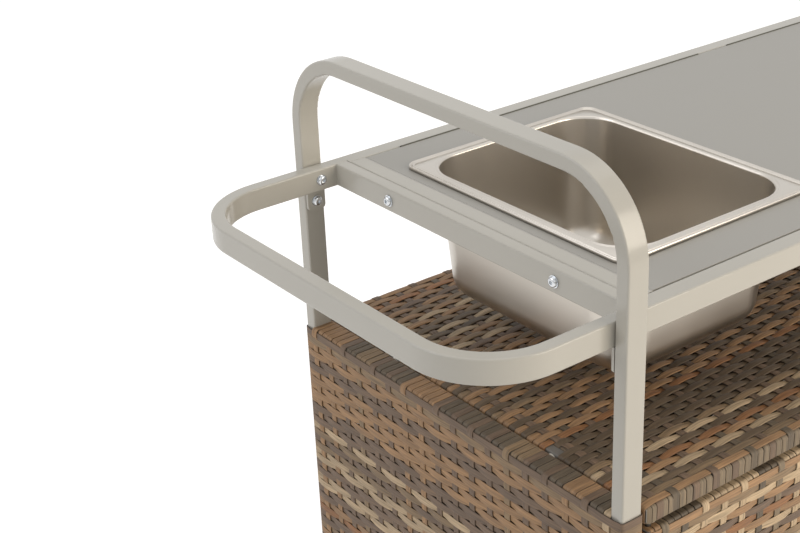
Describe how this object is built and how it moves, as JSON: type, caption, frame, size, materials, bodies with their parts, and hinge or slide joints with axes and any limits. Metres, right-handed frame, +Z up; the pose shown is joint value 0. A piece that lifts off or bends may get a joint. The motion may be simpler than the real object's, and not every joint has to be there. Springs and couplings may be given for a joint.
{
  "type": "rattan bar cart",
  "caption": "Woven rattan bar cart on casters: hoop ends, push handle, metal tray top with a lift-out ice pan, woven shelf and a cabinet with hinged doors.",
  "frame": {"origin": "on the floor, at the middle of the box round the whole cart", "axes": "+X along the cart, away from the push handle; +Y towards the back; +Z up"},
  "size_m": [1.102, 0.524, 0.932],
  "materials": {
    "frame_paint": "semi-gloss greige powder coat",
    "worktop_paint": "satin greige powder coat",
    "stainless": "satin drawn stainless steel",
    "bright_zinc": "bright zinc plate",
    "zinc_steel": "dull zinc plate",
    "rattan": "flat mixed-brown resin strands, plain weave",
    "nylon": "natural nylon",
    "cap_plastic": "moulded grey plastic",
    "tyre_rubber": "matte grey rubber",
    "hub_plastic": "moulded grey plastic"
  },
  "bodies": {
    "cart": {"back_frame": "frame_paint", "back_straps": "zinc_steel", "back_weave": "rattan", "base_cross_bars": "frame_paint", "base_rails": "frame_paint", "bolt_washers": "bright_zinc", "caster_fasteners": "zinc_steel", "caster_kingpins": "zinc_steel", "caster_top_plates": "zinc_steel", "corner_plates": "frame_paint", "cross_beam": "frame_paint", "door_bushes": "nylon", "door_catch": "cap_plastic", "end_rails": "frame_paint", "floor_panel": "frame_paint", "frame_bolts": "bright_zinc", "frame_spacers": "nylon", "left_end_weave": "rattan", "left_hoop": "frame_paint", "panel_ledges": "frame_paint", "panel_stiffeners": "frame_paint", "post_tabs": "frame_paint", "push_handle": "frame_paint", "right_end_weave": "rattan", "right_hoop": "frame_paint", "shelf_frame": "frame_paint", "shelf_weave": "rattan", "strap_screws": "zinc_steel", "threaded_inserts": "zinc_steel", "tray_end_caps": "cap_plastic", "tray_end_rails": "worktop_paint", "tray_side_rails": "frame_paint", "worktop_panel": "worktop_paint"},
    "back_left_caster": {"back_left_axle": "zinc_steel", "back_left_fork": "zinc_steel"},
    "back_left_wheel": {"back_left_hub": "hub_plastic", "back_left_tyre": "tyre_rubber"},
    "back_right_caster": {"back_right_axle": "zinc_steel", "back_right_fork": "zinc_steel"},
    "back_right_wheel": {"back_right_hub": "hub_plastic", "back_right_tyre": "tyre_rubber"},
    "front_left_caster": {"front_left_axle": "zinc_steel", "front_left_fork": "zinc_steel"},
    "front_left_wheel": {"front_left_hub": "hub_plastic", "front_left_tyre": "tyre_rubber"},
    "front_right_caster": {"front_right_axle": "zinc_steel", "front_right_fork": "zinc_steel"},
    "front_right_wheel": {"front_right_hub": "hub_plastic", "front_right_tyre": "tyre_rubber"},
    "ice_pan": {"ice_pan": "stainless"},
    "left_door": {"left_door_frame": "frame_paint", "left_door_knob": "bright_zinc", "left_door_pivots": "zinc_steel", "left_door_strike": "zinc_steel", "left_door_weave": "rattan"},
    "right_door": {"right_door_frame": "frame_paint", "right_door_knob": "bright_zinc", "right_door_pivots": "zinc_steel", "right_door_strike": "zinc_steel", "right_door_weave": "rattan"}
  },
  "joints": [
    {"name": "left_door_hinge", "type": "hinge", "parent": "cart", "child": "left_door", "pos_m": [-0.3605, -0.2325, 0.3535], "axis": [0, 0, -1], "range_deg": [0, 110]},
    {"name": "right_door_hinge", "type": "hinge", "parent": "cart", "child": "right_door", "pos_m": [0.5085, -0.2325, 0.3535], "axis": [0, 0, 1], "range_deg": [0, 110]},
    {"name": "ice_pan_lift", "type": "slide", "parent": "cart", "child": "ice_pan", "axis": [0, 0, 1], "range_m": [0, 0.2]},
    {"name": "front_left_swivel", "type": "hinge", "parent": "cart", "child": "front_left_caster", "pos_m": [-0.339, -0.178, 0.08525], "axis": [0, 0, 1], "continuous": true},
    {"name": "front_left_roll", "type": "hinge", "parent": "front_left_caster", "child": "front_left_wheel", "pos_m": [-0.315, -0.178, 0.0375], "axis": [0, 1, 0], "continuous": true},
    {"name": "back_left_swivel", "type": "hinge", "parent": "cart", "child": "back_left_caster", "pos_m": [-0.339, 0.198, 0.08525], "axis": [0, 0, 1], "continuous": true},
    {"name": "back_left_roll", "type": "hinge", "parent": "back_left_caster", "child": "back_left_wheel", "pos_m": [-0.315, 0.198, 0.0375], "axis": [0, 1, 0], "continuous": true},
    {"name": "front_right_swivel", "type": "hinge", "parent": "cart", "child": "front_right_caster", "pos_m": [0.487, -0.178, 0.08525], "axis": [0, 0, 1], "continuous": true},
    {"name": "front_right_roll", "type": "hinge", "parent": "front_right_caster", "child": "front_right_wheel", "pos_m": [0.511, -0.178, 0.0375], "axis": [0, 1, 0], "continuous": true},
    {"name": "back_right_swivel", "type": "hinge", "parent": "cart", "child": "back_right_caster", "pos_m": [0.487, 0.198, 0.08525], "axis": [0, 0, 1], "continuous": true},
    {"name": "back_right_roll", "type": "hinge", "parent": "back_right_caster", "child": "back_right_wheel", "pos_m": [0.511, 0.198, 0.0375], "axis": [0, 1, 0], "continuous": true}
  ]
}
